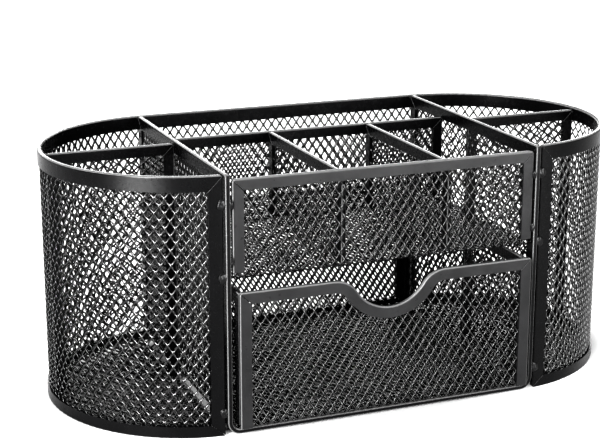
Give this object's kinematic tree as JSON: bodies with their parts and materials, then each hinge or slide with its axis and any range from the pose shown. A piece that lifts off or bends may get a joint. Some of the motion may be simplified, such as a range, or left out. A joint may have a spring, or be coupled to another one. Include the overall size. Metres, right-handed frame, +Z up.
{
  "type": "desk organizer",
  "caption": "Oval black steel mesh desk caddy with divided end cups, a row of open compartments and a sliding drawer with a finger scoop.",
  "frame": {"origin": "centre of the footprint, on the table it stands on", "axes": "+X along the length, -Y towards the side the drawer opens to, +Z up"},
  "size_m": [0.236, 0.1176, 0.1],
  "materials": {
    "black_mesh": "semi-gloss black coated expanded steel mesh",
    "black_strip": "satin black powder coated folded steel strip"
  },
  "bodies": {
    "organizer": {"housing_front_hem": "black_strip", "housing_mesh": "black_mesh", "housing_rear_hem": "black_strip", "left_cup_divider_inner_strip": "black_strip", "left_cup_divider_mesh": "black_mesh", "left_cup_divider_outer_strip": "black_strip", "left_cup_divider_top_strip": "black_strip", "left_cup_floor_mesh": "black_mesh", "left_front_post": "black_strip", "left_partition_top_strip": "black_strip", "left_short_divider_front_strip": "black_strip", "left_short_divider_mesh": "black_mesh", "left_short_divider_rear_strip": "black_strip", "left_short_divider_top_strip": "black_strip", "long_divider_left_strip": "black_strip", "long_divider_mesh": "black_mesh", "long_divider_right_strip": "black_strip", "long_divider_top_strip": "black_strip", "outer_wall_bottom_rim": "black_strip", "outer_wall_mesh": "black_mesh", "outer_wall_top_rim": "black_strip", "right_cup_divider_inner_strip": "black_strip", "right_cup_divider_mesh": "black_mesh", "right_cup_divider_outer_strip": "black_strip", "right_cup_divider_top_strip": "black_strip", "right_cup_floor_mesh": "black_mesh", "right_front_post": "black_strip", "right_partition_top_strip": "black_strip", "right_short_divider_front_strip": "black_strip", "right_short_divider_mesh": "black_mesh", "right_short_divider_rear_strip": "black_strip", "right_short_divider_top_strip": "black_strip", "shelf_front_left_strip": "black_strip", "shelf_front_right_strip": "black_strip", "shelf_front_top_strip": "black_strip", "shelf_mesh": "black_mesh", "shelf_rear_hem": "black_strip", "weld_beads": "black_strip"},
    "drawer": {"drawer_back_left_strip": "black_strip", "drawer_back_right_strip": "black_strip", "drawer_back_top_strip": "black_strip", "drawer_front_left_strip": "black_strip", "drawer_front_right_strip": "black_strip", "drawer_front_top_strip": "black_strip", "drawer_left_side_front_strip": "black_strip", "drawer_left_side_mesh": "black_mesh", "drawer_left_side_rear_strip": "black_strip", "drawer_left_side_top_strip": "black_strip", "drawer_right_side_front_strip": "black_strip", "drawer_right_side_mesh": "black_mesh", "drawer_right_side_rear_strip": "black_strip", "drawer_right_side_top_strip": "black_strip", "drawer_tray_mesh": "black_mesh"}
  },
  "joints": [
    {"name": "drawer_slide", "type": "slide", "parent": "organizer", "child": "drawer", "axis": [0, -1, 0], "range_m": [0, 0.09]}
  ]
}
